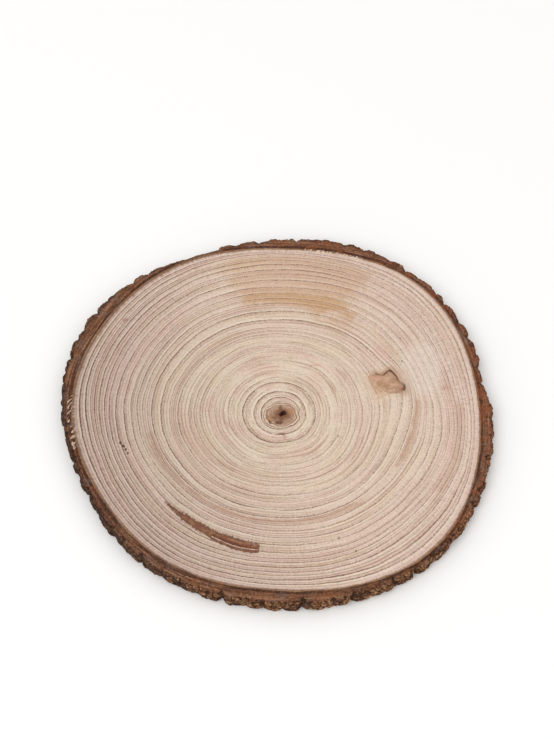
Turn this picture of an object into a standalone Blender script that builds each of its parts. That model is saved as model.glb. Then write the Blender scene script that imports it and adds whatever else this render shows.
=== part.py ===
"""A round slice sawn across the trunk of a young conifer, with its bark on, lying flat.

Metres, +Z up. The origin is on the underside, where the pith meets it. A bearing is an angle round the
pith, in degrees counter-clockwise from +X. Two bodies: the wood, and the ring of bark that grew round it.
"""

import math
import random

import bmesh
import bpy
from mathutils import Vector, noise

MM = 0.001

# Driving sizes
THICKNESS = 12 * MM
WOOD_RADIUS = 144.5 * MM
BARK_RADIUS = 153.2 * MM
CLEARANCE = 0.3 * MM

# The trunk isn't quite round. Each lobe: how many go round the trunk, how high they stand, a crest's bearing.
WOOD_LOBES = (
    (1, 2.4 * MM, 128),
    (2, 2.4 * MM, 127),
    (3, 2.4 * MM, 55),
    (4, 2.3 * MM, 46),
    (5, 0.9 * MM, 36),
    (6, 0.8 * MM, 58),
)
BARK_LOBES = (
    (1, 3.1 * MM, 134),
    (2, 2.2 * MM, 125),
    (3, 2.4 * MM, 49),
    (4, 2.1 * MM, 58),
    (5, 0.6 * MM, 7),
)
LOBE_POWER = 1.5  # a young trunk is rounder: its lobes stand as high as this power of its share of the radius
YOUNG_SHARE = 0.2  # the share of the radius by which the first lobe, the pith's offset, is at its full height

# Stretches where the trunk grew faster or slower for some years: a bearing and its spread, the trunk's mean radius
# then and its spread, and how far the rings swell there. The bark's side has evened out since.
SWELLS = (
    (215, 55, 25 * MM, 35 * MM, 1.8 * MM),
    (50, 50, 20 * MM, 30 * MM, -1.3 * MM),
    (60, 40, 68 * MM, 18 * MM, -2.6 * MM),
    (120, 35, 74 * MM, 22 * MM, -2.0 * MM),
    (190, 35, 74 * MM, 24 * MM, 2.4 * MM),
    (12, 20, 84 * MM, 17 * MM, 6.8 * MM),
    (353, 22, 112 * MM, 21 * MM, 6.6 * MM),
    (308, 26, 96 * MM, 18 * MM, -3.8 * MM),
    (311, 22, 128 * MM, 16 * MM, -5.4 * MM),
    (235, 30, 100 * MM, 12 * MM, -2.4 * MM),
    (140, 50, 113 * MM, 12 * MM, -2.4 * MM),
    (88, 22, 133 * MM, 14 * MM, 3.5 * MM),
    (190, 18, 136 * MM, 12 * MM, -2.4 * MM),
)
SWELL_FADE = 8 * MM

# Each year's growth from the pith outwards, in millimetres, as the dark latewood lines show it
RING_WIDTHS = (
    10.0, 3.5, 4.5, 7.5, 3.5, 6.5, 9.0, 4.0, 6.0, 4.0, 3.5, 7.5, 3.0, 2.5, 6.5,
    7.0, 3.0, 3.5, 4.5, 5.0, 5.5, 6.0, 4.5, 3.0, 4.0, 3.5, 2.5, 3.5, 3.5,
)
RING_GROOVE_WIDTH = 1.0 * MM
RING_GROOVE_DEPTH = 0.4 * MM
WOOD_COLUMNS = 48

PITH_WIDTH = 3 * MM
PITH_DEPTH = 1.2 * MM
PITH_SIDES = 12

# The knot of a small branch, which the rings bend round. Its crack's bends are millimetres from its middle.
KNOT_RADIUS = 78.7 * MM
KNOT_BEARING = 19
KNOT_LENGTH = 25 * MM
KNOT_WIDTH = 16 * MM
KNOT_TURN = -24
KNOT_PUSH = 2.5 * MM
KNOT_REACH = 14 * MM
KNOT_SPREAD = 15  # degrees to each side of the knot where the wood's columns stand twice as close
CRACK_BENDS = ((-8.3, 7.6), (-4.8, 7.0), (1.0, 11.2), (4.8, 7.2), (8.2, 1.7), (11.6, -2.6), (10.8, -5.5))
CRACK_SIZES = (0.5, 0.7, 0.9, 1.0, 1.0, 1.0, 0.6)
GROOVE_WIRE = 0.7 * MM
GROOVE_DEPTH = 0.4 * MM

# A pocket of ingrown bark that follows a ring, pointed at its first bearing and blunt at its last
POCKET_RADII = (110.5 * MM, 114.0 * MM)
POCKET_BEARINGS = (222, 262)
POCKET_WIDTH = 8.5 * MM
POCKET_DEPTH = 0.6 * MM
POCKET_POINT = 0.25
POCKET_FULL_AT = 0.6
POCKET_STEPS = 12
TUBE_FINENESS = 8

# The bark: plates between furrows that run along the trunk, and a stretch where the outer bark is gone
BARK_COLUMNS = 400
DEEP_FURROWS = (11, 39, 54, 86, 134, 147, 162, 183, 198, 230, 254, 275, 288, 306, 331, 346)
DEEP_FURROW = (2.2 * MM, 3.4 * MM)
SHALLOW_FURROW = (0.6 * MM, 1.9 * MM)
FURROW_WIDTH = 3.6 * MM
FURROW_SHARPNESS = 1.4
FURROW_LEAN = 0.2
PLATE_WIDTH = 16 * MM
PLATE_UNEVENNESS = 0.3
PLATE_CROWN = 0.5 * MM
THIN_SPOTS = ((13, 13, 2.6 * MM), (204, 20, 1.4 * MM))  # a bearing, half the spot's spread, how much is missing
BARE_BEARINGS = (107, 121)
BARE_RAMP = 2.0
BARE_THICKNESS = 3.0 * MM
ROUGHNESS = 0.7 * MM
ROUGH_GRAIN = (9 * MM, 6 * MM)  # round the trunk, and along it
# The outer side from its upper edge down: share of the height, and how far the bark has crumbled back there
BARK_SIDE = ((1.0, 1.3 * MM), (0.86, 0.2 * MM), (0.56, 0.0), (0.26, 0.3 * MM), (0.0, 1.1 * MM))

SEED = 31
SHARP_ANGLE = 35


def lobed(mean, lobes, bearing):
    """Radius at a bearing of a round outline with lobes."""
    return mean + sum(high * math.cos(count * math.radians(bearing - crest)) for count, high, crest in lobes)


def ring_radius(grown, bearing):
    """Radius at a bearing of the outline that the trunk had when its mean radius was grown."""
    share = grown / WOOD_RADIUS
    radius = grown
    for count, high, crest in WOOD_LOBES:
        growth = min(1, share / YOUNG_SHARE) if count == 1 else share**LOBE_POWER
        radius += high * growth * math.cos(count * math.radians(bearing - crest))
    fade = min(1, (WOOD_RADIUS - grown) / SWELL_FADE)
    for middle, half, then, span, high in SWELLS:
        off = (bearing - middle + 180) % 360 - 180
        radius += high * fade * math.exp(-((off / half) ** 2) - ((grown - then) / span) ** 2)
    return radius


def at(radius, bearing, z=0.0):
    """Point at a radius and bearing round the pith."""
    angle = math.radians(bearing)
    return Vector((radius * math.cos(angle), radius * math.sin(angle), z))


def round_knot(point):
    """Moves a point of the wood away from the knot, as the rings that bend round it."""
    away = point - at(KNOT_RADIUS, KNOT_BEARING, point.z)
    push = KNOT_PUSH * math.exp(-((away.length / KNOT_REACH) ** 2))
    return point + away.normalized() * push


def wood_bearings():
    """Bearings of the wood's columns, which stand closer near the knot."""
    step = 360 / WOOD_COLUMNS
    bearings = []
    for i in range(WOOD_COLUMNS):
        between = (i + 0.5) * step
        bearings.append(i * step)
        if abs(between - KNOT_BEARING) < KNOT_SPREAD:
            bearings.append(between)
    return bearings


def wood_rows():
    """Closed rows of points: over the top from the pith to the edge, with a groove at each ring, and the foot."""
    levels = [(PITH_WIDTH, 0.0)]
    grown = 0.0
    for width in RING_WIDTHS:
        grown += width * MM
        levels.append((grown - RING_GROOVE_WIDTH / 2, 0.0))
        levels.append((grown, RING_GROOVE_DEPTH))
        levels.append((grown + RING_GROOVE_WIDTH / 2, 0.0))
    levels.append((WOOD_RADIUS, 0.0))
    levels.append((WOOD_RADIUS, THICKNESS))
    bearings = wood_bearings()
    for grown, deep in levels:
        row = [at(ring_radius(grown, bearing), bearing, THICKNESS - deep) for bearing in bearings]
        yield [round_knot(point) for point in row] if grown < WOOD_RADIUS else row


def furrows():
    """Every furrow as a bearing, a depth and a lean: the deep ones, and shallower ones between them."""
    draw = random.Random(SEED)
    found = []
    for start, end in zip(DEEP_FURROWS, DEEP_FURROWS[1:] + (DEEP_FURROWS[0] + 360,)):
        plates = max(1, round(math.radians(end - start) * BARK_RADIUS / PLATE_WIDTH))
        for i in range(plates):
            unevenness = draw.uniform(-PLATE_UNEVENNESS, PLATE_UNEVENNESS) if i else 0.0
            deep = draw.uniform(*(SHALLOW_FURROW if i else DEEP_FURROW))
            lean = draw.uniform(-FURROW_LEAN, FURROW_LEAN)
            found.append((start + (end - start) * (i + unevenness) / plates, deep, lean))
    return found


def bark_outline(bearing, z, cracks):
    """Radius of the bark's outer side at a bearing and height, without the crumbled edges."""
    along = math.radians(bearing) * BARK_RADIUS
    turn = math.radians(360) * BARK_RADIUS
    radius = lobed(BARK_RADIUS, BARK_LOBES, bearing)
    for middle, half, missing in THIN_SPOTS:
        radius -= missing * math.cos(math.pi / 2 * min(1, abs(bearing - middle) / half)) ** 2
    nearest = PLATE_WIDTH / 2
    for crack, deep, lean in cracks:
        middle = math.radians(crack) * BARK_RADIUS + lean * (z - THICKNESS / 2)
        away = abs((along - middle + turn / 2) % turn - turn / 2)
        nearest = min(nearest, away)
        radius -= deep * max(0.0, 1 - away / FURROW_WIDTH) ** FURROW_SHARPNESS
    radius += PLATE_CROWN * nearest / (PLATE_WIDTH / 2)
    round_trunk, along_trunk = ROUGH_GRAIN
    grain = at(BARK_RADIUS / round_trunk, bearing, z / along_trunk)
    return radius + ROUGHNESS * noise.noise(grain)


def bareness(bearing):
    """How far the outer bark is gone at a bearing, from 0 to 1."""
    start, end = BARE_BEARINGS
    inside = min(bearing - start, end - bearing) / BARE_RAMP + 0.5
    return min(1.0, max(0.0, inside))


def bark_sections():
    """Closed sections of the bark ring, one at each bearing, from the wood outwards and down."""
    cracks = furrows()
    for i in range(BARK_COLUMNS):
        bearing = 360 * i / BARK_COLUMNS
        inner = lobed(WOOD_RADIUS, WOOD_LOBES, bearing) + CLEARANCE
        gone = bareness(bearing)
        section = [at(inner, bearing, 0.0), at(inner, bearing, THICKNESS)]
        for share, crumbled in BARK_SIDE:
            z = share * THICKNESS
            outer = bark_outline(bearing, z, cracks) - crumbled
            thin = inner + BARE_THICKNESS - crumbled / 2
            section.append(at(outer + gone * (thin - outer), bearing, z))
        yield section


def skinned(name, rows, closed_ring, material, collection):
    """Makes an object from rows of points with the same count, each row joined to the next by quads."""
    mesh = bmesh.new()
    lines = [[mesh.verts.new(point) for point in row] for row in rows]
    pairs = list(zip(lines, lines[1:]))
    if closed_ring:
        pairs.append((lines[-1], lines[0]))
    else:
        mesh.faces.new(reversed(lines[0]))
        mesh.faces.new(lines[-1])
    for first, second in pairs:
        for i, vertex in enumerate(first):
            j = (i + 1) % len(first)
            mesh.faces.new((vertex, first[j], second[j], second[i]))
    bmesh.ops.recalc_face_normals(mesh, faces=mesh.faces)
    data = bpy.data.meshes.new(name)
    mesh.to_mesh(data)
    mesh.free()
    data.materials.append(material)
    data.shade_smooth()
    data.set_sharp_from_angle(angle=math.radians(SHARP_ANGLE))
    thing = bpy.data.objects.new(name, data)
    collection.objects.link(thing)
    return thing


def hide_cutter(thing, collection):
    """Puts an object that only shapes the wood in the cutters' collection, unseen in renders."""
    for home in list(thing.users_collection):
        home.objects.unlink(thing)
    collection.objects.link(thing)
    thing.display_type = "WIRE"
    thing.hide_render = True


def tube_cutter(name, places, sizes, wire, collection):
    """A closed tube along places, as thick at each as its share of the wire's radius."""
    line = bpy.data.curves.new(name, "CURVE")
    line.dimensions = "3D"
    line.bevel_depth = wire
    line.bevel_resolution = TUBE_FINENESS
    line.use_fill_caps = True
    spline = line.splines.new("POLY")
    spline.points.add(len(places) - 1)
    for point, place, size in zip(spline.points, places, sizes):
        point.co = (*place, 1.0)
        point.radius = size
    curve = bpy.data.objects.new(name, line)
    collection.objects.link(curve)
    bpy.context.view_layer.update()
    data = bpy.data.meshes.new_from_object(curve.evaluated_get(bpy.context.evaluated_depsgraph_get()))
    bpy.data.objects.remove(curve)
    mesh = bmesh.new()
    mesh.from_mesh(data)
    bmesh.ops.remove_doubles(mesh, verts=mesh.verts, dist=0.01 * MM)
    bmesh.ops.recalc_face_normals(mesh, faces=mesh.faces)
    mesh.to_mesh(data)
    mesh.free()
    hide_cutter(bpy.data.objects.new(name, data), collection)


def make_pith_cutter(collection):
    """A small cone for the pith's soft core, which has shrunk into a pit."""
    mesh = bmesh.new()
    bmesh.ops.create_cone(
        mesh,
        cap_ends=True,
        segments=PITH_SIDES,
        radius1=PITH_WIDTH / 6,
        radius2=PITH_WIDTH / 2,
        depth=2 * PITH_DEPTH,
    )
    data = bpy.data.meshes.new("pith_pit")
    mesh.to_mesh(data)
    mesh.free()
    cone = bpy.data.objects.new("pith_pit", data)
    cone.location = (0, 0, THICKNESS)
    hide_cutter(cone, collection)


def make_knot_cutter(collection):
    """An oval wire round the knot's edge, lying most of the way out of the top."""
    bpy.ops.mesh.primitive_torus_add(
        major_segments=28, minor_segments=6, major_radius=KNOT_WIDTH / 2, minor_radius=GROOVE_WIRE
    )
    oval = bpy.context.object
    oval.name = "knot_edge"
    oval.location = at(KNOT_RADIUS, KNOT_BEARING, THICKNESS + GROOVE_WIRE - GROOVE_DEPTH)
    oval.scale.x = KNOT_LENGTH / KNOT_WIDTH
    oval.rotation_euler.z = math.radians(KNOT_TURN)
    hide_cutter(oval, collection)


def make_crack_cutter(collection):
    """The drying crack across the knot."""
    middle = at(KNOT_RADIUS, KNOT_BEARING, THICKNESS + GROOVE_WIRE - GROOVE_DEPTH)
    places = [middle + Vector((x, y, 0)) * MM for x, y in CRACK_BENDS]
    tube_cutter("knot_crack", places, CRACK_SIZES, GROOVE_WIRE, collection)


def make_pocket_cutter(collection):
    """The bark pocket's bed: a tube along the ring, so far out of the top that it cuts a shallow trough."""
    start, end = POCKET_BEARINGS
    wire = (POCKET_WIDTH**2 / 4 + POCKET_DEPTH**2) / (2 * POCKET_DEPTH)
    places = []
    sizes = []
    for i in range(POCKET_STEPS):
        share = i / (POCKET_STEPS - 1)
        bearing = start + share * (end - start)
        grown = POCKET_RADII[0] + share * (POCKET_RADII[1] - POCKET_RADII[0])
        size = POCKET_POINT + (1 - POCKET_POINT) * min(1, share / POCKET_FULL_AT)
        z = THICKNESS + size * (wire - POCKET_DEPTH)
        places.append(at(ring_radius(grown, bearing), bearing, z))
        sizes.append(size)
    tube_cutter("bark_pocket_bed", places, sizes, wire, collection)


def finish(name, colour, roughness):
    """A plain material of one colour, given as linear red, green and blue."""
    material = bpy.data.materials.new(name)
    material.use_nodes = True
    shader = material.node_tree.nodes["Principled BSDF"]
    shader.inputs["Base Color"].default_value = (*colour, 1)
    shader.inputs["Roughness"].default_value = roughness
    shader.inputs["Metallic"].default_value = 0
    return material


def make_wood(collection, cutters):
    """The slice's wood, with its rings, pith, knot and bark pocket."""
    wood = skinned("wood", wood_rows(), False, finish("sanded_wood", (0.60, 0.46, 0.35), 0.7), collection)
    make_pith_cutter(cutters)
    make_knot_cutter(cutters)
    make_crack_cutter(cutters)
    make_pocket_cutter(cutters)
    cut = wood.modifiers.new("features", "BOOLEAN")
    cut.operation = "DIFFERENCE"
    cut.operand_type = "COLLECTION"
    cut.collection = cutters


def make_bark(collection):
    """The ring of bark round the wood."""
    skinned("bark", bark_sections(), True, finish("rough_bark", (0.15, 0.085, 0.052), 0.9), collection)


def main():
    """Clears the scene and makes the slice."""
    for thing in list(bpy.data.objects):
        bpy.data.objects.remove(thing)
    parts = bpy.data.collections.new("wood_log_slice")
    cutters = bpy.data.collections.new("cutters")
    for collection in (parts, cutters):
        bpy.context.scene.collection.children.link(collection)
    make_wood(parts, cutters)
    make_bark(parts)


main()
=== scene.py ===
"""Dresses a round slice sawn across a conifer trunk, with its bark on, and sets it in a plain studio.

The slice is made of two pieces, the wood and the ring of bark, which take the place of the two plain
solids and keep their outlines. Lengths are millimetres until a mesh is made, and a bearing is an angle
round the pith in degrees, counter-clockwise from +X.
"""

from __future__ import annotations

import logging
import math
import random
from abc import ABC, abstractmethod
from dataclasses import dataclass
from typing import Sequence

import bpy
import numpy as np
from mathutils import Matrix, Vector, noise


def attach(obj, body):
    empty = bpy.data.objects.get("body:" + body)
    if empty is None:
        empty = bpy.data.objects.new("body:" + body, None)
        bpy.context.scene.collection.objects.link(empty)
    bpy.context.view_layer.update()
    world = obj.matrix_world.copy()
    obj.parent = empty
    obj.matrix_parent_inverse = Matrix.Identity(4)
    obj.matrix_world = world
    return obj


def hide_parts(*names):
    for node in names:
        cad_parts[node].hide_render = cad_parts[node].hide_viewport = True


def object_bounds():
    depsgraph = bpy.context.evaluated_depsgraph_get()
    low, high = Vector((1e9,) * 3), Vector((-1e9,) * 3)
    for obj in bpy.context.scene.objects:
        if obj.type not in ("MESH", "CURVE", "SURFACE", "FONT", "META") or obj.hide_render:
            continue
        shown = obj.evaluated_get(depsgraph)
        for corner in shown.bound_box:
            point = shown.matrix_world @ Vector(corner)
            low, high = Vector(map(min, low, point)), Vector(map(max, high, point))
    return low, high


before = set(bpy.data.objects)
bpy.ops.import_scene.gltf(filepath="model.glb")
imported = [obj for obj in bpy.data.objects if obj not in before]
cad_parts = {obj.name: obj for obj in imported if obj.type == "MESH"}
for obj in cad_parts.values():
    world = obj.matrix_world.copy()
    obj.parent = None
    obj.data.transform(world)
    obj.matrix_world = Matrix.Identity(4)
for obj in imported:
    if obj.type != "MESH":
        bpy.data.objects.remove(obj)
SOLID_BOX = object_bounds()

log = logging.getLogger("slice")

MM = 0.001
PHOTO_HEIGHT = 739
SENSOR = 36.0
BAKE_MAP = "OFBake"
CORNER_CUT = 0.2
TINY = 1e-6
# Farther than any mark on the wood reaches.
FAR = 99.0
# Parts the seeds of neighbouring scales, which would give them nearly the same number.
SEED_SPREAD = 7.31
# A noise texture keeps nearly all of its values in the first span, and most of them in the second.
MOST_NOISE = (0.2, 0.8)
MID_NOISE = (0.3, 0.7)

Socket = bpy.types.NodeSocket
Tree = bpy.types.NodeTree
Array = np.ndarray
Lobe = tuple[float, float, float]
Place = tuple[float, float]
Span = tuple[float, float]
Way = tuple[float, float, float]
Cloudiness = tuple[str, Socket, Way, float, float]
Coat = tuple[object, float, float, float, str]


def linear(colour: str) -> tuple[float, ...]:
    """Turns an sRGB hex colour to linear.

    Args:
        colour: Six hex digits after a hash.

    Returns:
        Red, green, blue and an alpha of 1.
    """
    shares = [int(colour[i : i + 2], 16) / 255 for i in (1, 3, 5)]
    return (*[s / 12.92 if s <= 0.04045 else ((s + 0.055) / 1.055) ** 2.4 for s in shares], 1.0)


def add(
    tree: Tree,
    kind: str,
    inputs: dict[int | str, object] | Sequence[object] = (),
    out: int | str = 0,
    stops: Sequence[tuple[float, str]] = (),
    **settings: object,
) -> Socket:
    """Adds a node with its settings and links.

    Args:
        tree: The node tree that it joins.
        kind: What follows ShaderNode in the node's type.
        inputs: For each input, in order or by its key, a value or the output that feeds it.
        out: Which output is wanted.
        stops: For a colour ramp, each stop's place and colour.
        settings: Properties of the node.

    Returns:
        The wanted output.
    """
    node = tree.nodes.new("ShaderNode" + kind)
    for name, value in settings.items():
        setattr(node, name, value)
    for key, value in inputs.items() if isinstance(inputs, dict) else enumerate(inputs):
        if isinstance(value, Socket):
            tree.links.new(value, node.inputs[key])
        else:
            node.inputs[key].default_value = value
    if stops:
        while len(node.color_ramp.elements) < len(stops):
            node.color_ramp.elements.new(1.0)
        for element, (place, colour) in zip(node.color_ramp.elements, stops):
            element.position = place
            element.color = linear(colour)
    return node.outputs[out] if len(node.outputs) else node.inputs[0]


def cloud(places: Array, grain: float | Sequence[float], octaves: int = 3) -> Array:
    """Smooth noise.

    Args:
        places: Points, along the last axis.
        grain: The size of its coarsest blotches, or one along each axis.
        octaves: How many finer layers it has.

    Returns:
        A number for each place, mostly between -1 and 1.
    """
    flat = (places / grain).reshape(-1, 3)
    values = [noise.fractal(Vector(place), 1.0, 2.0, octaves) for place in flat]
    return np.array(values).reshape(places.shape[:-1])


def scales(places: Array, grain: float | Sequence[float]) -> tuple[Array, Array]:
    """Uneven cells, as of a scaly surface.

    Args:
        places: Points, along the last axis.
        grain: The size of a cell, or one along each axis.

    Returns:
        For each place its cell's own number from 0 to 1, and how far the cell's border is, in cell sizes.
    """
    flat = (places / grain).reshape(-1, 3)
    own = np.empty(len(flat))
    border = np.empty(len(flat))
    for i, place in enumerate(flat):
        gaps, seeds = noise.voronoi(Vector(place))
        own[i] = noise.cell(seeds[0] * SEED_SPREAD)
        border[i] = gaps[1] - gaps[0]
    return own.reshape(places.shape[:-1]), border.reshape(places.shape[:-1])


def eased(path: Sequence[Place], closed: bool, rounds: int = 2) -> list[Place]:
    """Cuts the corners of a path, several times over.

    Args:
        path: The path's points.
        closed: Whether its end joins its start.
        rounds: How many times its corners are cut.

    Returns:
        The points of the rounded path.
    """
    for _ in range(rounds):
        ends = [*path, path[0]] if closed else path
        cut = []
        for (x0, y0), (x1, y1) in zip(ends, ends[1:]):
            for here, there in ((1 - CORNER_CUT, CORNER_CUT), (CORNER_CUT, 1 - CORNER_CUT)):
                cut.append((here * x0 + there * x1, here * y0 + there * y1))
        path = cut if closed else [path[0], *cut, path[-1]]
    return list(path)


def step(value: Array, low: float, high: float) -> Array:
    """A smooth step from 0 at low to 1 at high."""
    share = np.clip((value - low) / (high - low), 0, 1)
    return share * share * (3 - 2 * share)


def at(radius: Array | float, bearing: Array, z: Array | float = 0.0) -> Array:
    """Points at radii and bearings round the pith, and at a height, along a new last axis."""
    angle = np.radians(bearing)
    return np.stack(np.broadcast_arrays(radius * np.cos(angle), radius * np.sin(angle), z), axis=-1)


@dataclass(frozen=True)
class Trunk:
    """The trunk's own form, which the plain solids and the dressed pieces share.

    A lobe is how many crests it has round the trunk, how high they are and the first one's bearing. A swell
    is the middle and half-width of its bearings, then of its mean radii, and how high it is.
    """

    thickness: float = 12.0
    wood_radius: float = 144.5
    bark_radius: float = 153.2
    wood_lobes: tuple[Lobe, ...] = (
        (1, 2.4, 128), (2, 2.4, 127), (3, 2.4, 55), (4, 2.3, 46), (5, 0.9, 36), (6, 0.8, 58),
    )  # fmt: skip
    bark_lobes: tuple[Lobe, ...] = ((1, 3.1, 134), (2, 2.2, 125), (3, 2.4, 49), (4, 2.1, 58), (5, 0.6, 7))
    lobe_power: float = 1.5
    young_share: float = 0.2
    swells: tuple[tuple[float, float, float, float, float], ...] = (
        (215, 55, 25, 35, 1.8), (50, 50, 20, 30, -1.3), (60, 40, 68, 18, -2.6), (120, 35, 74, 22, -2.0),
        (190, 35, 74, 24, 2.4), (12, 20, 84, 17, 6.8), (353, 22, 112, 21, 6.6), (308, 26, 96, 18, -3.8),
        (311, 22, 128, 16, -5.4), (235, 30, 100, 12, -2.4), (140, 50, 113, 12, -2.4),
        (88, 22, 133, 14, 3.5), (190, 18, 136, 12, -2.4),
    )  # fmt: skip
    swell_fade: float = 8.0
    ring_widths: tuple[float, ...] = (
        10.0, 3.5, 4.5, 7.5, 3.5, 6.5, 9.0, 4.0, 6.0, 4.0, 3.5, 7.5, 3.0, 2.5, 6.5,
        7.0, 3.0, 3.5, 4.5, 5.0, 5.5, 6.0, 4.5, 3.0, 4.0, 3.5, 2.5, 3.5, 3.5,
    )  # fmt: skip
    line_strengths: tuple[float, ...] = (
        0.7, 1.25, 1.0, 0.95, 0.4, 0.5, 0.4, 0.3, 0.45, 0.4, 0.4, 0.55, 0.4, 0.4, 0.85,
        0.75, 0.3, 0.6, 0.65, 0.6, 0.75, 0.65, 0.6, 0.65, 0.75, 0.7, 0.5, 0.85, 0.8,
    )  # fmt: skip
    knot_radius: float = 78.7
    knot_bearing: float = 19.0
    knot_push: float = 2.5
    knot_reach: float = 14.0
    knot_tightness: float = 4.0
    deep_furrows: tuple[float, ...] = (
        11, 39, 54, 86, 134, 147, 162, 183, 198, 230, 254, 275, 288, 306, 331, 346,
    )  # fmt: skip
    deep_furrow: Span = (2.2, 3.4)
    shallow_furrow: Span = (0.6, 1.9)
    furrow_width: float = 3.6
    furrow_sharpness: float = 1.4
    furrow_lean: float = 0.2
    plate_width: float = 16.0
    plate_unevenness: float = 0.3
    plate_crown: float = 0.5
    thin_spots: tuple[tuple[float, float, float], ...] = ((13, 13, 2.6), (204, 20, 1.4))
    bare_bearings: Span = (107, 121)
    bare_ramp: float = 2.0
    bare_thickness: float = 3.0
    roughness: float = 0.7
    rough_grain: Span = (9.0, 6.0)
    seed: int = 31

    def lines(self) -> Array:
        """Mean radius of each dark latewood line."""
        return np.cumsum(self.ring_widths)

    def age(self, grown: Array) -> Array:
        """Years that the trunk had grown at a mean radius: a whole number on each latewood line."""
        lines = self.lines()
        return np.interp(grown, [0, *lines, lines[-1] + self.ring_widths[-1]], range(len(lines) + 2))

    def ring_radius(self, grown: Array, bearing: Array) -> Array:
        """The outline that the trunk had at a mean radius.

        Args:
            grown: Mean radii.
            bearing: Bearings.

        Returns:
            The outline's radius at each bearing.
        """
        share = grown / self.wood_radius
        radius = np.array(grown, dtype=float)
        for count, high, crest in self.wood_lobes:
            growth = np.minimum(1, share / self.young_share) if count == 1 else share**self.lobe_power
            radius = radius + high * growth * np.cos(count * np.radians(bearing - crest))
        fade = np.clip((self.wood_radius - grown) / self.swell_fade, 0, 1)
        for middle, half, then, span, high in self.swells:
            off = (bearing - middle + 180) % 360 - 180
            radius = radius + high * fade * np.exp(-((off / half) ** 2) - ((grown - then) / span) ** 2)
        return radius

    def from_knot(self, points: Array) -> Array:
        """Places as seen from the knot's middle, level with it."""
        away = points - at(self.knot_radius, np.array(self.knot_bearing))
        return away * (1.0, 1.0, 0.0)

    def round_knot(self, points: Array) -> Array:
        """Moves points of the wood away from the knot, as the rings that bend round it.

        Args:
            points: The points as they would be without the knot.

        Returns:
            The points moved.
        """
        away = self.from_knot(points)
        distance = np.maximum(np.linalg.norm(away, axis=-1, keepdims=True), TINY)
        heart = 1 - np.exp(-((self.knot_tightness * distance / self.knot_reach) ** 2))
        fade = np.exp(-((distance / self.knot_reach) ** 2))
        return points + away / distance * self.knot_push * heart * fade

    def furrows(self) -> list[Lobe]:
        """Places the deep furrows, and draws shallower ones between them.

        Returns:
            Every furrow's bearing, depth and lean.
        """
        draw = random.Random(self.seed)
        found = []
        for start, end in zip(self.deep_furrows, self.deep_furrows[1:] + (self.deep_furrows[0] + 360,)):
            plates = max(1, round(math.radians(end - start) * self.bark_radius / self.plate_width))
            for i in range(plates):
                unevenness = draw.uniform(-self.plate_unevenness, self.plate_unevenness) if i else 0.0
                deep = draw.uniform(*(self.shallow_furrow if i else self.deep_furrow))
                lean = draw.uniform(-self.furrow_lean, self.furrow_lean)
                found.append((start + (end - start) * (i + unevenness) / plates, deep, lean))
        return found

    def bark_edge(self, bearing: Array, z: Array) -> tuple[Array, Array]:
        """The bark's outer side at each bearing and height.

        Args:
            bearing: Bearings.
            z: Heights.

        Returns:
            The radius there, and how deep in a furrow it is.
        """
        radius = np.full(bearing.shape, self.bark_radius)
        for count, high, crest in self.bark_lobes:
            radius += high * np.cos(count * np.radians(bearing - crest))
        for middle, half, missing in self.thin_spots:
            radius -= missing * np.cos(np.pi / 2 * np.minimum(1, np.abs(bearing - middle) / half)) ** 2
        along = np.radians(bearing) * self.bark_radius
        turn = 2 * math.pi * self.bark_radius
        nearest = np.full(bearing.shape, self.plate_width / 2)
        sunk = np.zeros(bearing.shape)
        for crack, deep, lean in self.furrows():
            middle = math.radians(crack) * self.bark_radius + lean * (z - self.thickness / 2)
            away = np.abs((along - middle + turn / 2) % turn - turn / 2)
            nearest = np.minimum(nearest, away)
            sunk += deep * np.maximum(0.0, 1 - away / self.furrow_width) ** self.furrow_sharpness
        radius += self.plate_crown * nearest / (self.plate_width / 2) - sunk
        round_trunk, along_trunk = self.rough_grain
        grain = at(self.bark_radius / round_trunk, bearing, z / along_trunk).reshape(-1, 3)
        radius += self.roughness * np.array([noise.noise(Vector(p)) for p in grain]).reshape(bearing.shape)
        return radius, sunk

    def bareness(self, bearing: Array) -> Array:
        """How far the outer bark is gone at each bearing, from 0 to 1."""
        start, end = self.bare_bearings
        return np.clip(np.minimum(bearing - start, end - bearing) / self.bare_ramp + 0.5, 0, 1)


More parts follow.
